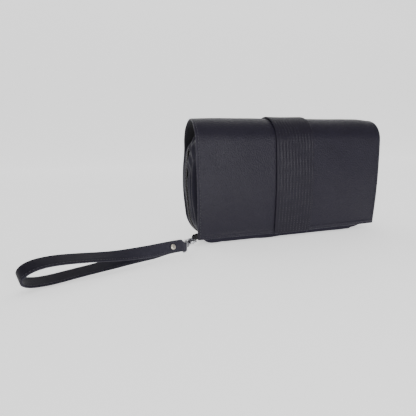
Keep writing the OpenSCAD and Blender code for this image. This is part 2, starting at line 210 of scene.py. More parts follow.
def round_corners(x, y, radii):
    """Bends the corners of a square grid into arcs and returns the distance to its rim."""
    x0, x1, y0, y1 = x.min(), x.max(), y.min(), y.max()
    d = np.minimum(np.minimum(x - x0, x1 - x), np.minimum(y - y0, y1 - y))
    x, y = x.copy(), y.copy()
    for (edge_x, sx, edge_y, sy), r in zip(
            ((x0, -1, y0, -1), (x1, 1, y0, -1), (x0, -1, y1, 1), (x1, 1, y1, 1)), radii):
        if r <= 0:
            continue
        p = 1 - np.abs(x - edge_x) / r
        q = 1 - np.abs(y - edge_y) / r
        m = (p > 0) & (q > 0)
        px, qy = p[m] * np.sqrt(1 - q[m] ** 2 / 2), q[m] * np.sqrt(1 - p[m] ** 2 / 2)
        x[m] = edge_x + sx * r * (px - 1)
        y[m] = edge_y + sy * r * (qy - 1)
        d[m] = r * (1 - np.hypot(px, qy))
    return x, y, np.maximum(d, 0)


def new_object(name, data):
    obj = bpy.data.objects.new(name, data)
    bpy.context.scene.collection.objects.link(obj)
    return obj


def make_object(name, verts_mm, faces, material, rim=None):
    """An object of these points and faces, welded, with even normals and smooth shading."""
    mesh = bpy.data.meshes.new(name)
    mesh.from_pydata((np.asarray(verts_mm).reshape(-1, 3) * MM).tolist(), [], faces)
    if rim is not None:
        attribute = mesh.attributes.new("rim", "FLOAT", "POINT")
        attribute.data.foreach_set("value", np.asarray(rim, np.float32).ravel())
    bm = bmesh.new()
    bm.from_mesh(mesh)
    bmesh.ops.remove_doubles(bm, verts=bm.verts, dist=1e-6)
    bmesh.ops.recalc_face_normals(bm, faces=bm.faces)
    bm.to_mesh(mesh)
    bm.free()
    mesh.polygons.foreach_set("use_smooth", [True] * len(mesh.polygons))
    mesh.materials.append(material)
    return new_object(name, mesh)


def grid_faces(rows, cols, start=0, wrap=False):
    faces = []
    for i in range(rows if wrap else rows - 1):
        j = (i + 1) % rows
        for k in range(cols - 1):
            faces.append((start + i * cols + k, start + j * cols + k,
                          start + j * cols + k + 1, start + i * cols + k + 1))
    return faces


def sheet(name, a, b, place, thick, material, radii=(0, 0, 0, 0), open_b=(False, False),
          open_a=(False, False), rise=None):
    """A sheet of leather or cloth on the grid lines a and b, with rounded rims. open_a and open_b
    leave a cut edge that another sheet carries on from."""
    x, y = np.meshgrid(a, b, indexing="ij")
    x2, y2, d = round_corners(x, y, radii)
    sides = ((open_a[0], x, a[0]), (open_a[1], x, a[-1]), (open_b[0], y, b[0]), (open_b[1], y, b[-1]))
    shut = [np.abs(grid - edge) for is_open, grid, edge in sides if not is_open]
    to_shut = np.min(shut, axis=0) if shut else FAR
    for is_open, grid, edge in sides:
        if is_open:
            d = np.where(np.abs(grid - edge) < max(*radii, 3.0), to_shut, d)
    half = thick / 2 * np.sqrt(1 - (1 - np.clip(d / (thick / 2), 0, 1)) ** 2)
    top = half if rise is None else half + rise(x2, y2) * np.clip(d / 0.8, 0, 1)
    outer = place(x2, y2, top).reshape(-1, 3)
    inner = place(x2, y2, -half).reshape(-1, 3)
    n = len(outer)
    faces = grid_faces(len(a), len(b))
    faces += [tuple(n + i for i in reversed(f)) for f in grid_faces(len(a), len(b))]
    edge_colour_mask = np.clip(1 - d / 0.9, 0, 1).ravel()
    return make_object(name, np.concatenate([outer, inner]), faces, material,
                       np.concatenate([edge_colour_mask, edge_colour_mask]))


def along(points, pitch):
    """Places and directions every pitch along a line of points."""
    points = np.asarray(points, float)
    length = lengths(points)
    n = max(1, int(length[-1] / pitch))
    at = (np.arange(n) + 0.5) * length[-1] / n
    here, ahead, behind = [np.stack([np.interp(place, length, points[:, k]) for k in range(2)], -1)
                           for place in (at, at + 0.2, at - 0.2)]
    way = ahead - behind
    return here, way / np.linalg.norm(way, axis=1)[:, None]


def stitches(name, runs, place, base, material, pitch=3.2, length=2.6, width=0.62, height=0.34,
             sides=6):
    """Rows of separate stitches that dip into the leather at both ends."""
    share = np.array([-0.5, -0.4, -0.2, 0, 0.2, 0.4, 0.5])
    girth = np.array([0.12, 0.7, 0.97, 1, 0.97, 0.7, 0.12])
    turn = np.arange(sides) * 2 * math.pi / sides
    lengthways = np.repeat(share * length, sides)
    across = (girth[:, None] * np.cos(turn) * width / 2).ravel()
    up = (girth[:, None] * np.sin(turn) * height).ravel() - np.repeat(0.4 * (2 * share) ** 4, sides) * 0.6
    ring = grid_faces(len(share), sides)
    seam = [(i * sides + sides - 1, (i + 1) * sides + sides - 1, (i + 1) * sides, i * sides)
            for i in range(len(share) - 1)]
    ends = [tuple(range(sides)), tuple(range(len(share) * sides - 1, (len(share) - 1) * sides - 1, -1))]
    one = ring + seam + ends
    verts, faces = [], []
    for run in runs:
        here, way = along(run, pitch)
        slant = np.stack([-way[:, 1], way[:, 0]], -1)
        a = here[:, None, 0] + lengthways * way[:, None, 0] + across * slant[:, None, 0]
        b = here[:, None, 1] + lengthways * way[:, None, 1] + across * slant[:, None, 1]
        verts.append(place(a, b, base + up + np.zeros_like(a)).reshape(-1, 3))
    verts = np.concatenate(verts)
    size = len(lengthways)
    for k in range(len(verts) // size):
        faces += [tuple(k * size + i for i in f) for f in one]
    return make_object(name, verts, faces, material)


# -------------------- materials
def set_range(node, from_lo, from_hi, to_lo, to_hi):
    for key, value in (("From Min", from_lo), ("From Max", from_hi), ("To Min", to_lo), ("To Max", to_hi)):
        node.inputs[key].default_value = value


class Paint:
    """Short-hand for building one node material."""

    def __init__(self, name):
        self.material = bpy.data.materials.new(name)
        self.material.use_nodes = True
        self.tree = self.material.node_tree
        self.tree.nodes.clear()
        self.shader = self.node("ShaderNodeBsdfPrincipled")
        out = self.node("ShaderNodeOutputMaterial")
        self.link(self.shader.outputs[0], out.inputs[0])
        self.place = self.node("ShaderNodeTexCoord").outputs["Object"]

    def node(self, kind, **settings):
        n = self.tree.nodes.new(kind)
        for key, value in settings.items():
            setattr(n, key, value)
        return n

    def link(self, a, b):
        self.tree.links.new(a, b)

    def set(self, **values):
        for key, value in values.items():
            self.shader.inputs[key.replace("_", " ")].default_value = value

    def noise(self, size_mm, detail=3.0, rough=0.5):
        n = self.node("ShaderNodeTexNoise")
        n.inputs["Scale"].default_value = 1 / (size_mm * MM)
        n.inputs["Detail"].default_value = detail
        n.inputs["Roughness"].default_value = rough
        self.link(self.place, n.inputs["Vector"])
        return n.outputs["Fac"]

    def cells(self, size_mm, at):
        n = self.node("ShaderNodeTexVoronoi", feature="SMOOTH_F1")
        n.inputs["Scale"].default_value = 1 / (size_mm * MM)
        n.inputs["Smoothness"].default_value = 0.35
        self.link(at, n.inputs["Vector"])
        return n.outputs["Distance"]

    def math(self, operation, a, b=None):
        n = self.node("ShaderNodeMath", operation=operation)
        for socket, value in zip(n.inputs, (a, b)):
            if value is None:
                continue
            if isinstance(value, (int, float)):
                socket.default_value = value
            else:
                self.link(value, socket)
        return n.outputs[0]

    def remap(self, value, lo, hi):
        n = self.node("ShaderNodeMapRange")
        set_range(n, 0.0, 1.0, lo, hi)
        self.link(value, n.inputs["Value"])
        return n.outputs["Result"]

    def mix(self, fac, a, b):
        n = self.node("ShaderNodeMix", data_type="RGBA")
        for socket, value in ((n.inputs[0], fac), (n.inputs[6], a), (n.inputs[7], b)):
            if isinstance(value, tuple):
                socket.default_value = (*value, 1)
            elif isinstance(value, (int, float)):
                socket.default_value = value
            else:
                self.link(value, socket)
        return n.outputs[2]

    def attribute(self, name):
        n = self.node("ShaderNodeAttribute", attribute_name=name)
        return n.outputs["Fac"]

    def bump(self, height, strength, distance_mm, after=None):
        n = self.node("ShaderNodeBump")
        n.inputs["Strength"].default_value = strength
        n.inputs["Distance"].default_value = distance_mm * MM
        self.link(height, n.inputs["Height"])
        if after:
            self.link(after, n.inputs["Normal"])
        return n.outputs["Normal"]


def leather(name, dark, light, edge, grain_mm=1.5, depth=0.3, rough=(0.42, 0.62), gloss=0.24):
    """Pebble-grained leather: rounded cells of uneven size, creases between them, fine pores."""
    p = Paint(name)
    warp = p.node("ShaderNodeVectorMath", operation="ADD")
    drift = p.node("ShaderNodeTexNoise")
    drift.inputs["Scale"].default_value = 1 / (4 * MM)
    p.link(p.place, drift.inputs["Vector"])
    scaled = p.node("ShaderNodeVectorMath", operation="SCALE")
    scaled.inputs["Scale"].default_value = 0.9 * MM
    p.link(drift.outputs["Color"], scaled.inputs[0])
    p.link(p.place, warp.inputs[0])
    p.link(scaled.outputs[0], warp.inputs[1])
    big = p.cells(grain_mm, warp.outputs[0])
    small = p.cells(grain_mm * 0.45, warp.outputs[0])
    pores = p.noise(0.25, detail=2)
    pebble = p.math("ADD", p.math("MULTIPLY", big, -1.0), p.math("MULTIPLY", small, -0.3))
    tone = p.noise(26, detail=4, rough=0.6)
    cloud = p.noise(70, detail=2)
    body = p.mix(p.remap(tone, 0.1, 0.9), dark, light)
    body = p.mix(p.math("MULTIPLY", cloud, 0.35), body, light)
    crease = p.remap(big, 0.0, 0.55)
    # Painted shade: the creases between the cells are painted darker
    body = p.mix(p.math("MULTIPLY", crease, 0.45), body, tuple(c * 0.55 for c in dark))
    # Paler edge colour: wear along the rims, and on the strap also painted light on the end by the clasp
    edge_colour_mask = p.math("MULTIPLY", p.attribute("rim"), p.remap(p.noise(3, detail=3), 0.35, 1.0))
    body = p.mix(edge_colour_mask, body, edge)
    p.link(body, p.shader.inputs["Base Color"])
    matt = p.math("ADD", p.remap(tone, rough[0], rough[1]), p.math("MULTIPLY", crease, 0.12))
    p.link(matt, p.shader.inputs["Roughness"])
    fine = p.bump(pores, 0.25, 0.08)
    p.link(p.bump(pebble, 0.8, depth, fine), p.shader.inputs["Normal"])
    p.set(Specular_IOR_Level=gloss)
    return p.material


def woven(name, dark, light, thread_mm, depth=0.12, rough=0.85, sheen=0.3):
    """Plain weave from two crossed sets of ridges, on all three axes so that any face shows it."""
    p = Paint(name)
    split = p.node("ShaderNodeSeparateXYZ")
    p.link(p.place, split.inputs[0])
    turns = 2 * math.pi / (thread_mm * MM)
    waves = [p.math("SINE", p.math("MULTIPLY", split.outputs[k], turns)) for k in range(3)]
    level = p.math("ADD", p.math("MULTIPLY", waves[0], waves[2]),
                   p.math("MULTIPLY", waves[1], waves[2]))
    tone = p.noise(9, detail=4)
    body = p.mix(p.remap(level, 0.15, 0.85), dark, light)
    body = p.mix(p.math("MULTIPLY", tone, 0.5), body, dark)
    p.link(body, p.shader.inputs["Base Color"])
    p.link(p.remap(tone, rough - 0.1, rough + 0.08), p.shader.inputs["Roughness"])
    p.link(p.bump(level, 0.7, depth), p.shader.inputs["Normal"])
    p.set(Sheen_Weight=sheen, Sheen_Roughness=0.6)
    return p.material


def thread(name, dark, light):
    """Twisted waxed thread."""
    p = Paint(name)
    fibre = p.noise(0.35, detail=3)
    p.link(p.mix(fibre, dark, light), p.shader.inputs["Base Color"])
    p.link(p.remap(fibre, 0.45, 0.7), p.shader.inputs["Roughness"])
    p.link(p.bump(fibre, 0.4, 0.08), p.shader.inputs["Normal"])
    p.set(Sheen_Weight=0.15)
    return p.material


def metal(name, color, tarnish, rough=(0.16, 0.34), scratch=0.05):
    """Plated metal with faint brushing and dull patches."""
    p = Paint(name)
    stretch = p.node("ShaderNodeMapping")
    stretch.inputs["Scale"].default_value = (1, 1, 9)
    p.link(p.place, stretch.inputs["Vector"])
    brush = p.node("ShaderNodeTexNoise")
    brush.inputs["Scale"].default_value = 1 / (0.9 * MM)
    brush.inputs["Detail"].default_value = 4
    p.link(stretch.outputs[0], brush.inputs["Vector"])
    patch = p.noise(2.5, detail=4)
    body = p.mix(p.remap(patch, 0.0, 0.7), color, tarnish)
    p.link(body, p.shader.inputs["Base Color"])
    p.link(p.remap(brush.outputs["Fac"], rough[0], rough[1]), p.shader.inputs["Roughness"])
    p.link(p.bump(brush.outputs["Fac"], 0.3, scratch), p.shader.inputs["Normal"])
    p.set(Metallic=1.0)
    return p.material


BAG = leather("bag_leather", (0.0072, 0.0058, 0.0125), (0.0135, 0.0112, 0.0215), (0.045, 0.042, 0.058),
              depth=0.45, rough=(0.32, 0.46), gloss=0.21)
BAND = leather("band_leather", (0.0066, 0.0053, 0.0108), (0.0122, 0.0099, 0.0185), (0.02, 0.017, 0.028),
               depth=0.3, rough=(0.36, 0.5), gloss=0.19)
POUCH = leather("pouch_leather", (0.0075, 0.0064, 0.014), (0.0145, 0.0125, 0.0245), (0.02, 0.018, 0.03),
                grain_mm=1.3, rough=(0.42, 0.6), gloss=0.14)
STRAP = leather("strap_leather", (0.0035, 0.0028, 0.0068), (0.009, 0.0075, 0.0155), (0.052, 0.05, 0.066),
                grain_mm=0.8, depth=0.10, rough=(0.35, 0.55), gloss=0.15)
TAB = leather("tab_leather", (0.003, 0.003, 0.004), (0.008, 0.0075, 0.010), (0.015, 0.015, 0.018),
              grain_mm=0.9, depth=0.1, gloss=0.2)
LINING = woven("lining_cloth", (0.009, 0.0085, 0.0125), (0.022, 0.0215, 0.029), 0.7, sheen=0.05)
TAPE = woven("zip_tape_cloth", (0.006, 0.006, 0.008), (0.022, 0.022, 0.026), 0.55, rough=0.75)
THREAD = thread("dark_thread", (0.012, 0.012, 0.019), (0.034, 0.033, 0.048))
STRAP_THREAD = thread("strap_thread", (0.006, 0.0055, 0.011), (0.014, 0.013, 0.025))
ZIP = metal("zip_nickel", (0.08, 0.077, 0.074), (0.034, 0.033, 0.031))
RING_METAL = metal("ring_gunmetal", (0.14, 0.14, 0.16), (0.06, 0.06, 0.07))
CLASP = metal("clasp_nickel", (0.68, 0.68, 0.70), (0.36, 0.36, 0.375), rough=(0.12, 0.28))
RIVET = metal("rivet_nickel", (0.66, 0.62, 0.54), (0.46, 0.42, 0.35), rough=(0.3, 0.45))


# -------------------- leather over the back, fold and flap
# Three parts of one leather: for each, the two bodies it lies between and the lengths of the section where
# it starts and ends
REAR, CREST, FRONT = "rear", "crest", "front"
BLENDS = {
    REAR: ("back", "fold_rear", S_REAR - BEND, S_CUT_REAR - 2),
    CREST: ("fold_rear", "fold_front", S_CUT_REAR + 2, S_CUT_FRONT - 2),
    FRONT: ("fold_front", "flap", S_CUT_FRONT + 2, S_FRONT + BEND),
}


def bends(obj, part, slot, *nodes):
    """Hides these CAD nodes, which obj stands for, and bakes obj's transform into its mesh."""
    a, b, start, end = BLENDS[part]
    if nodes:
        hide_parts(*nodes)
    section_point(start)
    section_point(end)
    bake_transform(obj)


def belongs(obj, slot, body, *nodes):
    """obj moves with that body and stands for these CAD nodes."""
    if nodes:
        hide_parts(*nodes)
    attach(obj, body)


def part_rows(part, lo, hi, step):
    """Grid lines along one part of the leather, with rims at its free ends and cuts between parts."""
    return grid_lines(lo, hi, step, near_lo=RIM if part == REAR else CUT,
                      near_hi=RIM if part == FRONT else CUT)


def groove(distance, deep=0.22, wide=0.75):
    return -deep * np.exp(-(distance / wide) ** 2)


def stitched_edge(x, s):
    """The dip that the edge thread pulls into the leather, and the turned hem at the flap's foot."""
    dip = groove(HALF_W - THREAD_IN - np.abs(x)) * (s > S_REAR)
    foot = S_END - s
    hem = 0.55 * (1 - smooth((foot - 4.6) / 0.9)) * smooth(foot / 1.2)
    return dip + hem + groove(foot - THREAD_IN)


def back_edge(x, s):
    """The same dip round the back panel."""
    return groove(BACK_HALF_W - THREAD_IN - np.abs(x)) * (s > CORNER_LOW) + groove(s - THREAD_IN)


EDGE_COLS = [k * (HALF_W - THREAD_IN + e) for k in (-1, 1) for e in (-0.8, -0.4, 0, 0.4, 0.8)]
wide_cols = grid_lines(-HALF_W, HALF_W, 3.0, extra=EDGE_COLS) * BACK_HALF_W / HALF_W
foot_rows = [S_END - e for e in (2.4, 2.8, 3.2, 4.2, 4.7, 5.2, 5.8)]
bag_mid = on_section(-LEATHER_T / 2)

BACK_CORNER = CORNER_LOW + 2
back_cols = grid_lines(-BACK_HALF_W, BACK_HALF_W, 3.0)
rear_leather = sheet("leather_rear", back_cols, grid_lines(0, S_CUT_REAR, 2.2, near_hi=CUT), bag_mid,
                     LEATHER_T, BAG, radii=(BACK_CORNER, BACK_CORNER, 0, 0), open_b=(False, True),
                     rise=back_edge)
crest_leather = sheet("leather_crest", wide_cols,
                      grid_lines(S_CUT_REAR, S_CUT_FRONT, 1.6, near_lo=CUT, near_hi=CUT),
                      bag_mid, LEATHER_T, BAG, open_b=(True, True))
front_leather = sheet("leather_front", wide_cols,
                      grid_lines(S_CUT_FRONT, S_END, 2.2, near_lo=CUT, extra=foot_rows),
                      bag_mid, LEATHER_T, BAG, radii=(0, 0, 1.8, 1.8), open_b=(True, False),
                      rise=lambda x, s: stitched_edge(x * HALF_W / BACK_HALF_W, s))
bends(rear_leather, REAR, "leather", "back_panel")
bends(crest_leather, CREST, "leather", "fold_rear_leather", "fold_front_leather")
bends(front_leather, FRONT, "leather", "flap_panel")

# Lining under all of it
LINING_IN = 1.2
lining_mid = on_section(-LEATHER_T - LINING_T / 2)
lining_cols = grid_lines(-BACK_HALF_W + LINING_IN, BACK_HALF_W - LINING_IN, 5.0)
for part, lo, hi, corner, nodes in (
        (REAR, 3.5, S_CUT_REAR, CORNER_LOW, ("back_lining",)),
        (CREST, S_CUT_REAR, S_CUT_FRONT, 0, ("fold_rear_lining", "fold_front_lining")),
        (FRONT, S_CUT_FRONT, S_END - LINING_IN, 0, ("flap_lining",))):
    cloth = sheet("lining_" + part, lining_cols, part_rows(part, lo, hi, 3.0), lining_mid, LINING_T, LINING,
                  radii=(corner, corner, 0, 0), open_b=(part != REAR, part != FRONT))
    bends(cloth, part, "lining", *nodes)

# Edge thread
inset = BACK_HALF_W - THREAD_IN
thread_mid = on_section(0)
arc = np.linspace(math.pi, 1.5 * math.pi, 12)
r_thread = BACK_CORNER - THREAD_IN
left_turn = [(-inset + r_thread * (1 + math.cos(t)), THREAD_IN + r_thread * (1 + math.sin(t)))
             for t in arc]
back_run = ([(-inset, S_CUT_REAR)] + left_turn + [(-x, s) for x, s in reversed(left_turn)]
            + [(inset, S_CUT_REAR)])
bends(stitches("thread_rear", [back_run], thread_mid, -0.15, THREAD), REAR, "thread", "back_stitching")
crest_runs = [[(k * inset, S_CUT_REAR), (k * inset, S_CUT_FRONT)] for k in (-1, 1)]
bends(stitches("thread_crest", crest_runs, thread_mid, -0.15, THREAD), CREST, "thread")
foot = S_END - THREAD_IN
flap_runs = [[(-inset, S_CUT_FRONT), (-inset, foot)], [(inset, S_CUT_FRONT), (inset, foot)],
             [(-inset + 2, foot), (BAND_X0 - 1.5, foot)], [(BAND_X1 + 1.5, foot), (inset - 2, foot)]]
bends(stitches("thread_front", flap_runs, thread_mid, 0.1, THREAD), FRONT, "thread", "flap_edge_stitching")

# -------------------- raised band
BAND_ROWS = 11
S_BAND = S_REAR + FOLD_R * math.radians(12)
to_grid = BACK_HALF_W / HALF_W
band_edges = (BAND_X0 * to_grid, BAND_X1 * to_grid)
row_x = np.linspace(band_edges[0] + 4.8, band_edges[1] - 2.4, BAND_ROWS)


def quilted(x, s):
    """The band's top is drawn down along every stitch row and swells between them."""
    nearest = np.min(np.abs(np.asarray(x)[..., None] - row_x), axis=-1)
    pulled = 0.12 + 0.88 * smooth((s - S_TOP - 8) / 42)
    return groove(nearest, deep=0.25, wide=0.8) * pulled + 0.12 * np.sin(s / 6.3 + x * 1.7) * np.cos(s / 2.9)


band_cols = grid_lines(*band_edges, 0.55)
band_mid = on_section(BAND_T / 2)
for part, lo, hi, nodes in (
        (REAR, S_BAND, S_CUT_REAR, ("fold_rear_band",)),
        (CREST, S_CUT_REAR, S_CUT_FRONT, ("fold_front_band",)),
        (FRONT, S_CUT_FRONT, S_END, ("flap_band",))):
    strip = sheet("band_" + part, band_cols, part_rows(part, lo, hi, 1.5), band_mid, BAND_T, BAND,
                  open_b=(part != REAR, part != FRONT), rise=quilted)
    bends(strip, part, "band_leather", *nodes)
band_top = on_section(BAND_T)
for part, lo, hi, nodes in (
        (REAR, S_BAND + 2, S_CUT_REAR, ("fold_rear_stitching",)),
        (CREST, S_CUT_REAR, S_CUT_FRONT, ("fold_front_stitching",)),
        (FRONT, S_CUT_FRONT, S_END - 2, ("flap_band_stitching",))):
    rows = stitches("band_thread_" + part, [[(x, lo), (x, hi)] for x in row_x], band_top, -0.36,
                    THREAD, pitch=2.7, length=2.1, width=0.6, height=0.3, sides=5)
    bends(rows, part, "thread", *nodes)


# -------------------- pouch
PLEAT_DEPTH, PLEAT_Y, PLEAT_WIDE = 7.0, -18.5, 3.0
# Each slanting ridge or furrow of the gusset: its height up the bag, how far it stands out, its width
SLANTS = ((113, 1.6, 2.6), (106, -1.4, 3.0), (97, 1.9, 2.8), (89, -1.4, 3.0))
TOP_SINK = 1.6
CORNER_UP_FRONT, CORNER_UP_REAR, RIGHT_CORNER_SHARE = 18.0, 6.5, 0.55
BELLY_OUT, BELLY_DOWN = 2.2, 1.7
PANEL_BEND_R = 3.2
FRONT_DEPTH, REAR_DEPTH = 28, 8


def outline_points(r_left, r_right):
    """The pouch's outline seen from the front, anticlockwise from the middle of its bottom."""
    points = [(0.0, POUCH_LOW)]
    top_z = POUCH_TOP - CORNER_TOP
    for side_x, cz, r, start in ((1, POUCH_LOW + r_right, r_right, -90), (1, top_z, CORNER_TOP, 0),
                                 (-1, top_z, CORNER_TOP, 90), (-1, POUCH_LOW + r_left, r_left, 180)):
        for t in np.radians(start + np.linspace(0, 90, 24)):
            points.append((side_x * (POUCH_HW - r) + r * math.cos(t), cz + r * math.sin(t)))
    points.append((0.0, POUCH_LOW))
    return np.array(points)


OUT_P = outline_points(CORNER_LOW, CORNER_LOW)
OUT_SQUARE = outline_points(*CORNER_SQUARE)
OUT_S = lengths(OUT_P)
OUT_LEN = OUT_S[-1]


def outline(p, square=0.0):
    """Point and outward normal of the pouch's outline at length p. Where square is 1 the lower
    corners are as tight as the front panel's."""
    def at(length):
        return [np.interp(length, OUT_S, OUT_P[:, k]) * (1 - square)
                + np.interp(length, OUT_S, OUT_SQUARE[:, k]) * square for k in range(2)]
    (x, z), (x1, z1), (x0, z0) = at(p), at(p + 0.4), at(p - 0.4)
    dx, dz = x1 - x0, z1 - z0
    n = np.maximum(np.hypot(dx, dz), 1e-9)
    return x, z, dz / n, -dx / n


def pouch_front_y(z):
    return flap_y(z) + POUCH_INSET


def creases(x, y, z):
    """Folds of the soft front gusset at both ends: a long inward pleat and slanting ridges."""
    side = smooth((np.abs(x) - 96) / 14) * np.where(x > 0, 0.25, 1.0)
    tall = smooth((z - 10) / 22) * smooth((POUCH_TOP + 14 - z) / 10)
    low = 1 - smooth((z - 74) / 14)
    pleat = -PLEAT_DEPTH * np.exp(-((y - PLEAT_Y) / PLEAT_WIDE) ** 2) * low
    swell = 1.7 * np.exp(-((y + 11) / 3.6) ** 2) - 1.2 * np.exp(-((y + 5) / 1.8) ** 2) * low
    swell += 1.0 * np.exp(-(y / 2.2) ** 2) - 0.9 * np.exp(-((y - 4) / 1.6) ** 2) * low
    slant = 0
    for at, height, wide in SLANTS:
        slant = slant + height * np.exp(-(((z - at) + 0.5 * (y + 18)) / wide) ** 2)
    ripple = 0.3 * np.sin(z / 6.3 + y / 3.0) * np.sin(y / 4.5)
    return side * tall * (pleat + swell + slant * smooth((z - 60) / 12) + ripple)


def top_sag(x, y, z):
    """The pouch's soft top sinks a little between its ends. Its end corners stand up, more in front
    than behind and less at the right end."""
    arch = np.cos(np.clip(x / POUCH_HW, -1, 1) * math.pi / 2)
    middle = -TOP_SINK * smooth((z - POUCH_TOP + 14) / 12) * arch
    front = np.clip(0.5 - y / 40, 0, 1)
    corner = smooth((np.abs(x) - 66) / 44) * smooth((z - 66) / 42) * np.where(x > 0, RIGHT_CORNER_SHARE, 1.0)
    return middle + corner * (CORNER_UP_FRONT * front + CORNER_UP_REAR * (1 - front))


def under_fold(y, z):
    """Keeps what stands up inside the fold clear of its lining."""
    room = FOLD_R - LEATHER_T - LINING_T - 1.6
    reach = np.sqrt(np.maximum(room ** 2 - np.maximum(z - FOLD_Z, 0) ** 2, 9.0))
    return np.maximum(y, -reach)


def slumped(x, y, z):
    """The filled pouch bellies forwards and down below the flap, unevenly along its length."""
    low = (1 - smooth((z - POUCH_LOW) / 18)) * smooth((x + 117) / 10) * smooth((97 - x) / 26)
    low = low * (1 - smooth((y + 14) / 22))
    uneven = 0.85 + 0.3 * np.sin(x / 19 + 3.0) + 0.15 * np.sin(x / 7.5) + 0.5 * smooth((-x - 84) / 14)
    return y - BELLY_OUT * low * uneven, z - BELLY_DOWN * low * uneven


def gusset_front(p, f, h):
    """Front gusset: f runs from the front panel's edge, 0, to the zip, 1."""
    x, z, nx, nz = outline(p, 1 - smooth(f))
    y0 = pouch_front_y(z) + 0.1
    y = y0 + f * (ZIP_Y - TAPE_SHOW - y0)
    near = np.clip(PANEL_BEND_R - (y - y0), 0, PANEL_BEND_R)
    inset = PANEL_BEND_R - np.sqrt(np.maximum(PANEL_BEND_R ** 2 - near ** 2, 0))
    out = h - GUSSET_T / 2 - inset + creases(x, y, z)
    x, z2 = x + nx * out, z + nz * out
    y2, z2 = slumped(x, y, z2)
    z2 = z2 + top_sag(x, y, z)
    return np.stack([x + end_bulge(x, z), under_fold(y2, z2), z2], -1)


def rear_ripple(x, z):
    return smooth((-x - 100) / 12) * 0.5 * np.sin(z / 9.0)


def gusset_rear(p, f, h):
    """Rear gusset: f runs from the zip, 0, to the back's lining, 1."""
    x, z, nx, nz = outline(p)
    y0 = ZIP_Y + TAPE_SHOW
    y = y0 + f * (back_y(z) - LEATHER_T - LINING_T - y0 + 1.0)
    out = h - GUSSET_T / 2 + rear_ripple(x, z)
    x, z2 = x + nx * out, z + nz * out
    return np.stack([x + end_bulge(x, z), y, z2 + top_sag(x, y, z)], -1)


def fractional(place, depth_mm):
    """Lets a place function of shares be used with rims measured in millimetres."""
    return lambda p, y, h: place(p, y / depth_mm, h)


ring_p = np.linspace(0, OUT_LEN, 300)
for name, place, depth, body in (("front", gusset_front, FRONT_DEPTH, "pouch_front"),
                                 ("rear", gusset_rear, REAR_DEPTH, "back")):
    gusset = sheet("gusset_" + name, ring_p, grid_lines(0, depth, 1.3), fractional(place, depth), GUSSET_T,
                   POUCH, open_a=(True, True))
    belongs(gusset, "pouch_leather", body, name + "_gusset")


PANEL_IN = 1.4
PANEL_T = 1.8
PANEL_CROWN = 0.9


def pouch_face(out):
    """A sheet of the pouch's front, crowned where the contents press on it."""
    def place(x, z, h):
        arch = np.sin(np.clip(z / POUCH_TOP, 0, 1) * math.pi)
        crown = PANEL_CROWN * np.cos(x / POUCH_HW * math.pi / 2) * arch
        y = pouch_front_y(z) + out - h - crown + 0.2 * np.sin(x / 15) * np.sin(z / 19)
        y2, z2 = slumped(x, y, z)
        z2 = z2 + top_sag(x, y, z)
        kept = under_fold(y2, z2)
        return np.stack([x + end_bulge(x, z), kept - h * (y2 < kept), z2], -1)
    return place


panel_cols = grid_lines(-POUCH_HW + PANEL_IN, POUCH_HW - PANEL_IN, 3.2)
panel_rows = grid_lines(POUCH_LOW + PANEL_IN - 1.0, POUCH_TOP - PANEL_IN, 2.6)
panel_radii = [r - PANEL_IN for r in (*CORNER_SQUARE, CORNER_TOP, CORNER_TOP)]
front_panel = sheet("pouch_panel", panel_cols, panel_rows, pouch_face(0.9), PANEL_T, POUCH,
                    radii=panel_radii)
belongs(front_panel, "pouch_leather", "pouch_front", "pouch_front_panel")
lining_rows = grid_lines(POUCH_LOW + 2.4, POUCH_TOP - 2.4, 3.5)
front_lining = sheet("pouch_lining", panel_cols * 0.985, lining_rows, pouch_face(2.2), LINING_T, LINING,
                     radii=[r - 3 for r in (*CORNER_SQUARE, CORNER_TOP, CORNER_TOP)])
belongs(front_lining, "lining", "pouch_front", "pouch_front_lining")


# -------------------- zip
def on_outline(out):
    """Places points by length round the pouch, distance behind the bag's middle, and height."""
    def place(p, y, h):
        x, z, nx, nz = outline(p)
        x2, z2 = x + nx * (out + h), z + nz * (out + h)
        return np.stack([x2 + end_bulge(x2, z), y, z2 + top_sag(x, y, z)], -1)
    return place


# The zip runs from one bottom corner over the top to the other
turn_low = math.asin((POUCH_LOW + CORNER_LOW - ZIP_LOW) / CORNER_LOW)
half_flat = POUCH_HW - CORNER_LOW
P_ZIP = half_flat + CORNER_LOW * (math.pi / 2 - turn_low)
TOOTH_PITCH = 1.5
TOOTH_HALF_LONG, TOOTH_HALF_TALL = 0.42, 1.05
zip_p = np.arange(P_ZIP, OUT_LEN - P_ZIP, TOOTH_PITCH)
tape_p = np.linspace(P_ZIP - 3, OUT_LEN - P_ZIP + 3, 240)
TAPE_T = 0.8
for name, lo, hi, body in (("front", ZIP_Y - 7, ZIP_Y - 0.9, "pouch_front"),
                           ("rear", ZIP_Y + 0.9, ZIP_Y + 7, "back")):
    strip = sheet("zip_tape_" + name, tape_p, grid_lines(lo, hi, 0.9), on_outline(-GUSSET_T - TAPE_T / 2),
                  TAPE_T, TAPE)
    belongs(strip, "zip_tape", body, "zip_tape_" + name)


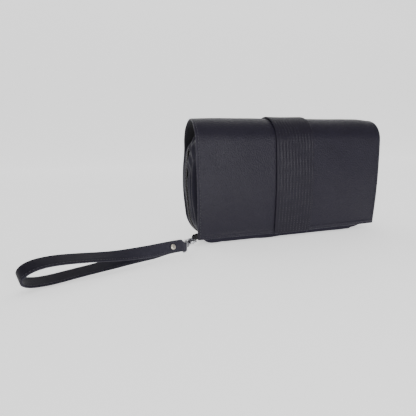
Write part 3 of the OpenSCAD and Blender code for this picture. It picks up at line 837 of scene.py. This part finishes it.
def teeth(name, side):
    """Metal teeth: a foot clamped over the tape's bead and a nose that reaches past the middle."""
    profile = [(-0.35, 0.55), (0.1, 0.62), (0.9, 0.95), (1.9, 1.05), (2.3, 0.8)]
    corners = ((-1, -1), (1, -1), (1.0, 0.35), (0.55, 1), (-0.55, 1), (-1.0, 0.35))
    verts, faces = [], []
    place = on_outline(-GUSSET_T + 1.2)
    offset = 0.0 if side > 0 else TOOTH_PITCH / 2
    for p0 in zip_p:
        start = len(verts)
        for reach, scale in profile:
            for dp, dh in corners:
                verts.append((p0 + offset + dp * TOOTH_HALF_LONG * min(scale, 0.85),
                              ZIP_Y + side * reach, dh * TOOTH_HALF_TALL * scale))
        for i in range(len(profile) - 1):
            for k in range(6):
                n = (k + 1) % 6
                a = start + i * 6
                faces.append((a + k, a + n, a + 6 + n, a + 6 + k))
        faces.append(tuple(start + k for k in range(6)))
        faces.append(tuple(start + (len(profile) - 1) * 6 + k for k in reversed(range(6))))
    v = np.array(verts)
    return make_object(name, place(v[:, 0], v[:, 1], v[:, 2]), faces, ZIP)


for name, side, body in (("front", -1, "pouch_front"), ("rear", 1, "back")):
    belongs(teeth("teeth_" + name, side), "zip_metal", body, "zip_teeth_" + name)


def on_gusset(front):
    """Places the thread beside the zip, on the front gusset or on the rear one."""
    def place(p, y, h):
        share = np.clip((y - pouch_front_y(50)) / (ZIP_Y - TAPE_SHOW - pouch_front_y(50)), 0, 1)
        x, z, nx, nz = outline(p, 1 - smooth(share))
        out = h + (creases(x, y, z) if front else rear_ripple(x, z))
        x2, z2 = x + nx * out, z + nz * out
        return np.stack([x2 + end_bulge(x2, z), y, z2 + top_sag(x, y, z)], -1)
    return place


for name, y, body in (("front", ZIP_Y - TAPE_SHOW - 1.5, "pouch_front"),
                      ("rear", ZIP_Y + TAPE_SHOW + 1.5, "back")):
    rows = stitches("zip_thread_" + name, [[(P_ZIP, y), (OUT_LEN - P_ZIP, y)]], on_gusset(name == "front"),
                    -0.12, THREAD, pitch=3.0, length=2.3)
    belongs(rows, "thread", body)

# -------------------- bottom strip
strip_lo, strip_hi = box_mm("bottom_strip")


def on_floor(x, y, h):
    return np.stack([x, y, (strip_hi[2] + strip_lo[2]) / 2 + h + 0 * x], -1)


bottom = sheet("bottom_strip_leather", grid_lines(strip_lo[0] - 4, strip_hi[0] + 4, 4),
               grid_lines(strip_lo[1] - 1.5, strip_hi[1], 2.5), on_floor, strip_hi[2] - strip_lo[2], POUCH,
               radii=(5, 5, 5, 5))
belongs(bottom, "leather", "back", "bottom_strip")


# -------------------- wrist strap
# It leans back from upright. Its front band is the upper one of the loop, its back band the lower.
STRAP_W = 12.0
STRAP_T = 1.8
STRAP_LEN = 155.5
STRAP_SPREAD = 20.5
LOOP_POWER = 5
LOOP_PEAK = 0.476
LOOP_ARCH = 1.5
LAYER_OFF = STRAP_T / 2 + 0.05
STRAP_TURN = math.radians(202)
STRAP_RISE = math.radians(2.0)
STRAP_LEAN = math.radians(57)
NEAR_LEAN = math.radians(15)
UPPER_LEAN = math.radians(4)
LOWER_LEAN = math.radians(7)
CLASP_TURN = math.radians(237)
TONGUE_R = 1.75
RIVET_SHARE = 0.9
STRAP_EDGE = STRAP_W / 2 - 1.6
# The strap starts to turn and lift beyond the bar, and leans further back beyond the loop's start
BAR_END, LOOP_START = 0.3, 8
NEAR_LIFT = 2.2
BACK_HANG = 1.6
strap_at = joint_mm("strap_swing")


def strap_line():
    """The strap's middle line in its own plane: round the clasp's bar, out as the upper band of
    the loop and back as the lower one. The third column is the extra lean."""
    wrap = np.radians(np.linspace(180, 32, 14))
    bar = [(TONGUE_R * math.cos(t), TONGUE_R * math.sin(t), 0) for t in wrap]
    t = np.linspace(math.acos(1 - LOOP_START / STRAP_LEN), math.pi, 90)
    u = STRAP_LEN * (1 - np.cos(t)) / 2
    v = LAYER_OFF * np.cos(t / 2) + (STRAP_SPREAD / 2 / LOOP_PEAK * np.sin(t)
                                     * np.sin(t / 2) ** LOOP_POWER)
    part = np.clip(u / 40, 0, 1) * np.clip((STRAP_LEN - u) / 15, 0, 1)
    arch = LOOP_ARCH * np.sin(t) * np.sin(t / 2) ** 4
    upper = np.concatenate([np.array(bar), np.stack([u, v + arch, part * UPPER_LEAN], -1)])
    lower = np.concatenate([np.array(bar), np.stack([u, v - arch, part * LOWER_LEAN], -1)])
    back = lower[::-1][1:] * np.array([1, -1, 1])
    line = np.concatenate([upper, back])
    return lengths(line[:, :2]), line


STRAP_S, STRAP_P = strap_line()
STRAP_RUN = STRAP_S[-1]


def strap_turn(u):
    lean = NEAR_LEAN + (STRAP_LEAN - NEAR_LEAN) * smooth((u - LOOP_START) / 95)
    return smooth((u - BAR_END) / 5) * lean


def strap_lift(u):
    return NEAR_LIFT * smooth((u - BAR_END) / 3) * (1 - smooth((u - LOOP_START) / 80))


def lay_strap(along_u, out, tall, turned, lean, rise):
    """Takes the strap's upright frame (along, towards the viewer, up) to the object's frame."""
    y = out * np.cos(turned) - tall * np.sin(lean)
    z = out * np.sin(turned) + tall * np.cos(lean) + rise
    x2 = along_u * math.cos(STRAP_RISE) - z * math.sin(STRAP_RISE)
    z2 = along_u * math.sin(STRAP_RISE) + z * math.cos(STRAP_RISE)
    c, s = math.cos(STRAP_TURN), math.sin(STRAP_TURN)
    return np.stack([strap_at[0] + c * x2 - s * y, strap_at[1] + s * x2 + c * y, strap_at[2] + z2], -1)


def lay_rivet(points):
    """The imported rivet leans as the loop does. This one turns with its leather and is smaller."""
    off = points - np.array(strap_at)
    c, s = math.cos(STRAP_TURN), math.sin(STRAP_TURN)
    x2, y = c * off[:, 0] + s * off[:, 1], c * off[:, 1] - s * off[:, 0]
    u = x2 * math.cos(STRAP_RISE) + off[:, 2] * math.sin(STRAP_RISE)
    z = off[:, 2] * math.cos(STRAP_RISE) - x2 * math.sin(STRAP_RISE)
    out = y * math.cos(STRAP_LEAN) + z * math.sin(STRAP_LEAN)
    tall = z * math.cos(STRAP_LEAN) - y * math.sin(STRAP_LEAN)
    middle = (u.min() + u.max()) / 2
    turned = strap_turn(middle)
    return lay_strap(middle + RIVET_SHARE * (u - middle), out, RIVET_SHARE * tall, turned, turned,
                     strap_lift(middle))


def on_strap(p, wm, h):
    """p runs along the strap, wm millimetres across its width, h outwards from its middle."""
    def at(length, k):
        return np.interp(np.mod(length, STRAP_RUN), STRAP_S, STRAP_P[:, k])
    u, v, extra = at(p, 0), at(p, 1), at(p, 2)
    du, dv = at(p + 0.6, 0) - at(p - 0.6, 0), at(p + 0.6, 1) - at(p - 0.6, 1)
    n = np.maximum(np.hypot(du, dv), 1e-9)
    nu, nv = -dv / n, du / n
    free = smooth((u - 30) / 40)
    shift = h + free * 0.35 * np.sin(p / 23.0)
    turned = strap_turn(u)
    width = 1 - 0.25 * (1 - smooth((u - 0.7) / 2.0))
    rise = 0.25 * free * np.sin(p / 31.0) + strap_lift(u)
    # The back band hangs a little lower than the front one, so its edge shows below it
    rise = rise - BACK_HANG * smooth(-v / 0.9) * smooth((u - 14) / 25) * (1 - smooth((u - 70) / 50))
    return lay_strap(u + nu * shift, nv * shift + v, wm * width, turned, turned + extra, rise)


def strap_rise(p, wm):
    return groove(STRAP_EDGE - np.abs(wm), deep=0.16, wide=0.5) + 0.12


def paint_light_near_clasp(obj):
    """The doubled end by the clasp is painted paler than the loop: painted light that lifts the darker
    shading of that end.
    """
    data = obj.data
    count = len(data.vertices)
    points = np.empty(count * 3, np.float32)
    data.vertices.foreach_get("co", points)
    away = np.linalg.norm(points.reshape(-1, 3)[:, :2] / MM - strap_at[:2], axis=1)
    rim = np.empty(count, np.float32)
    layer = data.attributes["rim"].data
    layer.foreach_get("value", rim)
    # Painted light: the end by the clasp gets the paler edge colour, fading out between 40 and 105 mm from
    # the clasp
    near = 1 - smooth((away - 40) / 65)
    layer.foreach_set("value", np.maximum(0.35 * rim, 0.6 * near).astype(np.float32))


strap = sheet("strap", np.linspace(0, STRAP_RUN, 380), grid_lines(-STRAP_W / 2, STRAP_W / 2, 0.9),
              on_strap, STRAP_T, STRAP, open_a=(True, True), rise=strap_rise)
paint_light_near_clasp(strap)
belongs(strap, "strap_leather", "strap", "wrist_strap")
for name, start, base, nodes in (("outer", 12, STRAP_T / 2 - 0.02, ("strap_stitching",)),
                                 ("inner", 34, -STRAP_T / 2 + 0.06, ())):
    runs = [[(start, k * STRAP_EDGE), (STRAP_RUN - start, k * STRAP_EDGE)] for k in (-1, 1)]
    rows = stitches("strap_thread_" + name, runs, on_strap, base, STRAP_THREAD, pitch=2.7, length=2.1,
                    width=0.5, height=0.26)
    belongs(rows, "strap_thread", "strap", *nodes)

# -------------------- tab that holds the ring
TAB_BAR_R = 1.65
TAB_HALF_W = 3.2
tab_at = joint_mm("ring_swing")


def tab_line():
    """The tab's middle line seen from above: from the bag, round the ring's bar and back."""
    wrap = np.radians(np.linspace(140, -140, 24))
    start = [(-33, 0.75), (-20, 0.75), (-8, 0.75)]
    bar = [(TAB_BAR_R * math.cos(t), TAB_BAR_R * math.sin(t)) for t in wrap]
    line = np.array(start + bar + [(u, -v) for u, v in reversed(start)])
    fine = [line[0]]
    for a, b in zip(line[:-1], line[1:]):
        n = max(1, int(np.linalg.norm(b - a) / 1.2))
        fine += [a + (b - a) * k / n for k in range(1, n + 1)]
    return lengths(fine), np.array(fine)


TAB_S, TAB_P = tab_line()


def on_tab(p, w, h):
    """p runs along the tab, w millimetres across it, h outwards from its middle."""
    def at(length):
        return np.array([np.interp(length, TAB_S, TAB_P[:, k]) for k in range(2)])
    (u, v), (du, dv) = at(p), at(p + 0.3) - at(p - 0.3)
    n = np.maximum(np.hypot(du, dv), 1e-9)
    u, v = u - dv / n * h, v + du / n * h
    c, s = math.cos(CLASP_TURN), math.sin(CLASP_TURN)
    sewn = smooth((-u - 12) / 14)
    z = w * (1 - 0.25 * sewn) - 4.4 * sewn
    return np.stack([tab_at[0] + c * u - s * v, tab_at[1] + s * u + c * v, tab_at[2] + z], -1)


tab_grid = grid_lines(0, TAB_S[-1], 1.0), grid_lines(-TAB_HALF_W, TAB_HALF_W, 0.7)
belongs(sheet("tab", *tab_grid, on_tab, 1.3, TAB), "tab_leather", "back", "ring_tab")
tab_runs = [[(12, k * 2.3), (TAB_S[-1] - 12, k * 2.3)] for k in (-1, 1)]
tab_rows = stitches("tab_thread", tab_runs, on_tab, 0.6, THREAD, pitch=2.2, length=1.7, width=0.45,
                    height=0.25)
belongs(tab_rows, "thread", "back", "ring_tab_stitching")


# -------------------- metal parts
def cast(node, material, bevel_mm, slot, body, lay=None):
    """A metal part with the CAD part's shape, its flat faces made whole and its edges rounded."""
    source = frame["nodes"][node]
    mesh = source.data.copy()
    mesh.transform(source.matrix_world)
    mesh.materials.clear()
    mesh.materials.append(material)
    bm = bmesh.new()
    bm.from_mesh(mesh)
    bmesh.ops.remove_doubles(bm, verts=bm.verts, dist=0.004 * MM)
    bmesh.ops.dissolve_limit(bm, angle_limit=math.radians(1), verts=bm.verts, edges=bm.edges)
    bm.to_mesh(mesh)
    bm.free()
    if lay:
        points = np.empty(len(mesh.vertices) * 3, np.float32)
        mesh.vertices.foreach_get("co", points)
        mesh.vertices.foreach_set("co", (lay(points.reshape(-1, 3) / MM) * MM).ravel())
    mesh.polygons.foreach_set("use_smooth", [True] * len(mesh.polygons))
    obj = new_object(node + "_metal", mesh)
    if bevel_mm:
        bevel = obj.modifiers.new("bevel", "BEVEL")
        bevel.width = bevel_mm * MM
        bevel.segments = 3
        bevel.limit_method = "ANGLE"
        bevel.angle_limit = math.radians(35)
    shade = obj.modifiers.new("normals", "WEIGHTED_NORMAL")
    shade.keep_sharp = False
    belongs(obj, slot, body, node)


for node, material, bevel_mm, slot, body in (
        ("zip_slider", ZIP, 0.22, "zip_metal", "slider"),
        ("zip_puller", ZIP, 0.25, "zip_metal", "puller"),
        ("zip_end_stops", ZIP, 0.2, "zip_metal", "back"),
        ("d_ring", RING_METAL, 0.0, "dark_metal", "ring"),
        ("clasp_hook", CLASP, 0.35, "clasp_metal", "hook"),
        ("clasp_gate", CLASP, 0.2, "clasp_metal", "gate"),
        ("clasp_pin", CLASP, 0.1, "clasp_metal", "hook"),
        ("clasp_spring", CLASP, 0.05, "clasp_metal", "hook"),
        ("clasp_swivel", CLASP, 0.25, "clasp_metal", "swivel")):
    cast(node, material, bevel_mm, slot, body)
for node in ("strap_rivet_cap", "strap_rivet_base"):
    cast(node, RIVET, 0.2, "rivet_metal", "strap", lay_rivet)

# -------------------- floor, light, camera
# A pale floor that glows softly near the bag and sweeps up into a backdrop, in a dim white room
FLOOR_GLOW = 0.8
GLOW_X, GLOW_NEAR, GLOW_FAR = 1.8, 3.2, 9.0
SWEEP_R, SWEEP_Y, FLOOR_REACH, BACKDROP_TOP = 1800, 2500, 40000, 12000
HORIZON_LIGHT, ZENITH_LIGHT = 0.42, 0.36
floor_mat = Paint("pale_floor")
floor_mat.link(floor_mat.mix(floor_mat.noise(60, detail=2), (0.84, 0.84, 0.84), (0.87, 0.87, 0.87)),
               floor_mat.shader.inputs["Base Color"])
floor_mat.set(Roughness=0.9, Emission_Color=(1, 1, 1, 1))
spot = floor_mat.node("ShaderNodeSeparateXYZ")
floor_mat.link(floor_mat.place, spot.inputs[0])
aside = floor_mat.math("SUBTRACT", spot.outputs["X"], GLOW_X)
before = floor_mat.math("MINIMUM", spot.outputs["Y"], 0.0)
away = floor_mat.math("SQRT", floor_mat.math("ADD", floor_mat.math("MULTIPLY", aside, aside),
                                             floor_mat.math("MULTIPLY", before, before)))
dim = floor_mat.node("ShaderNodeMapRange", interpolation_type="SMOOTHSTEP")
set_range(dim, GLOW_NEAR, GLOW_FAR, FLOOR_GLOW, 0.0)
floor_mat.link(away, dim.inputs["Value"])
floor_mat.link(dim.outputs["Result"], floor_mat.shader.inputs["Emission Strength"])
quarter = np.linspace(0, math.pi / 2, 24)
sweep_y = [-FLOOR_REACH] + [SWEEP_Y + SWEEP_R * math.sin(t) for t in quarter] + [SWEEP_Y + SWEEP_R]
sweep_z = [0] + [SWEEP_R * (1 - math.cos(t)) for t in quarter] + [BACKDROP_TOP]
points = [(x, y, z) for y, z in zip(sweep_y, sweep_z) for x in (-FLOOR_REACH, FLOOR_REACH)]
floor = make_object("floor", points, grid_faces(len(sweep_y), 2), floor_mat.material)

world = bpy.data.worlds.new("studio")
bpy.context.scene.world = world
world.use_nodes = True
sky = world.node_tree
up_share = sky.nodes.new("ShaderNodeSeparateXYZ")
sky.links.new(sky.nodes.new("ShaderNodeTexCoord").outputs["Generated"], up_share.inputs[0])
fade = sky.nodes.new("ShaderNodeMapRange")
set_range(fade, 0.0, 0.75, HORIZON_LIGHT, ZENITH_LIGHT)
sky.links.new(up_share.outputs["Z"], fade.inputs["Value"])
sky.links.new(fade.outputs["Result"], sky.nodes["Background"].inputs[1])
sky.nodes["Background"].inputs[0].default_value = (1, 1, 1, 1)


WINDOW_AT, WINDOW_AIM = Vector((0.0, -1.0, 0.14)), Vector((-0.08, 0, 0.1))
WINDOW_SIZE, WINDOW_POWER = 0.3, 6.2
OVERHEAD_HEADING, OVERHEAD_POWER, OVERHEAD_SPREAD = Vector((0.25, 0.2, -1.0)), 0.9, math.radians(90)
CAMERA_AT = (-0.257, -0.430, 0.102)
YAW, PITCH, ROLL = math.radians(20.1), math.radians(8.0), math.radians(-1.3)
SENSOR_MM, LENS_MM = 36, 35.05


def light(name, kind, heading, power):
    data = bpy.data.lights.new(name, kind)
    data.energy = power
    obj = new_object(name, data)
    obj.rotation_euler = heading.to_track_quat("-Z", "Y").to_euler()
    return obj


window = light("window", "AREA", WINDOW_AIM - WINDOW_AT, WINDOW_POWER)
window.data.shape = "SQUARE"
window.data.size = WINDOW_SIZE
window.location = WINDOW_AT
overhead = light("overhead", "SUN", OVERHEAD_HEADING, OVERHEAD_POWER)
overhead.data.angle = OVERHEAD_SPREAD

cam_data = bpy.data.cameras.new("camera")
cam_data.sensor_width = SENSOR_MM
cam_data.lens = LENS_MM
cam = new_object("camera", cam_data)
ahead = Vector((math.sin(YAW) * math.cos(PITCH), math.cos(YAW) * math.cos(PITCH), -math.sin(PITCH)))
right = Vector((math.cos(YAW), -math.sin(YAW), 0))
up = right.cross(ahead)
right_r = right * math.cos(ROLL) + up * math.sin(ROLL)
up_r = -right * math.sin(ROLL) + up * math.cos(ROLL)
turned = Matrix((right_r, up_r, -ahead)).transposed().to_4x4()
cam.matrix_world = Matrix.Translation(CAMERA_AT) @ turned
bpy.context.scene.camera = cam

bpy.context.view_layer.update()
